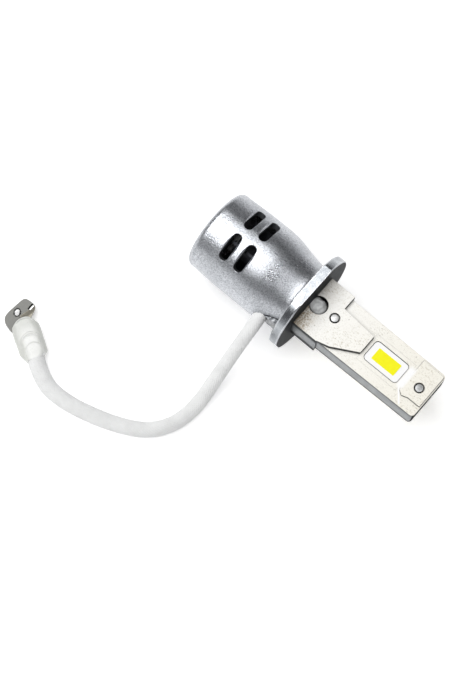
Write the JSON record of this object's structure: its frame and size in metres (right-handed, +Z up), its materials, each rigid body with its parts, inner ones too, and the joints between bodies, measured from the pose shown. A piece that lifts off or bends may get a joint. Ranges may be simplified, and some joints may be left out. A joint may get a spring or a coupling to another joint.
{
  "type": "led headlight bulb",
  "caption": "Flanged LED headlight bulb with a flat two-sided light blade, a vented fan housing behind the flange and a short sleeved lead ending in a booted tab terminal.",
  "frame": {"origin": "on the surface the bulb lies on, under the middle of its length from the fan housing's back to the blade's tip", "axes": "+X along the bulb's axis towards the blade's tip, +Z up out of the blade's front face and the flange's locating flat, the lead leaves towards -Y"},
  "size_m": [0.0755, 0.0573, 0.0208],
  "materials": {
    "housing_metal": "sand-blasted silver",
    "flange_metal": "satin turned",
    "blade_coating": "fine champagne bead-blasted",
    "copper": "plain copper",
    "rivet_steel": "polished",
    "white_board": "white solder mask",
    "led_white": "smooth white",
    "phosphor": "matt yellow phosphor silicone",
    "solder": "tinned",
    "wire_jacket": "thin insulation",
    "board_green": "green solder mask",
    "spacer_black": "moulded",
    "ferrite": "ferrite",
    "capacitor_can": "can",
    "chip_black": "moulded epoxy",
    "sink_metal": "dark anodised",
    "fan_black": "moulded glass-filled nylon",
    "bearing_bronze": "sintered bronze",
    "ring_steel": "spring steel",
    "core_steel": "laminated",
    "coil_copper": "enamelled copper wire",
    "magnet": "bonded ferrite",
    "grommet_rubber": "soft rubber",
    "sleeve_white": "white braided sleeving",
    "boot_clear": "translucent off-white PVC",
    "tab_nickel": "nickel plated"
  },
  "bodies": {
    "bulb": {"base_flange": "flange_metal", "fan_housing": "housing_metal", "blade_body": "blade_coating", "blade_back_plate": "blade_coating", "copper_heat_strip": "copper", "base_rivet": "rivet_steel", "tip_rivet": "rivet_steel", "front_led_board": "white_board", "rear_led_board": "white_board", "front_led_package": "led_white", "rear_led_package": "led_white", "front_phosphor": "phosphor", "rear_phosphor": "phosphor", "solder_posts": "solder", "led_leads": "wire_jacket", "driver_board": "board_green", "driver_spacer": "spacer_black", "driver_inductor": "ferrite", "driver_capacitors": "capacitor_can", "driver_chip": "chip_black", "driver_diodes": "chip_black", "heat_sink_core": "sink_metal", "fan_frame": "fan_black", "fan_bearing": "bearing_bronze", "fan_retaining_ring": "ring_steel", "fan_circuit_board": "board_green", "stator_core": "core_steel", "stator_coils": "coil_copper", "fan_leads": "wire_jacket", "lead_grommet": "grommet_rubber", "lead_sleeve": "sleeve_white", "terminal_boot": "boot_clear", "terminal_tab": "tab_nickel", "terminal_crimp": "tab_nickel"},
    "fan_rotor": {"fan_impeller": "fan_black", "fan_shaft": "rivet_steel", "rotor_yoke": "core_steel", "rotor_magnet": "magnet"}
  },
  "joints": [
    {"name": "fan_spin", "type": "hinge", "parent": "bulb", "child": "fan_rotor", "pos_m": [-0.02425, 0, 0.011], "axis": [1, 0, 0], "continuous": true}
  ]
}
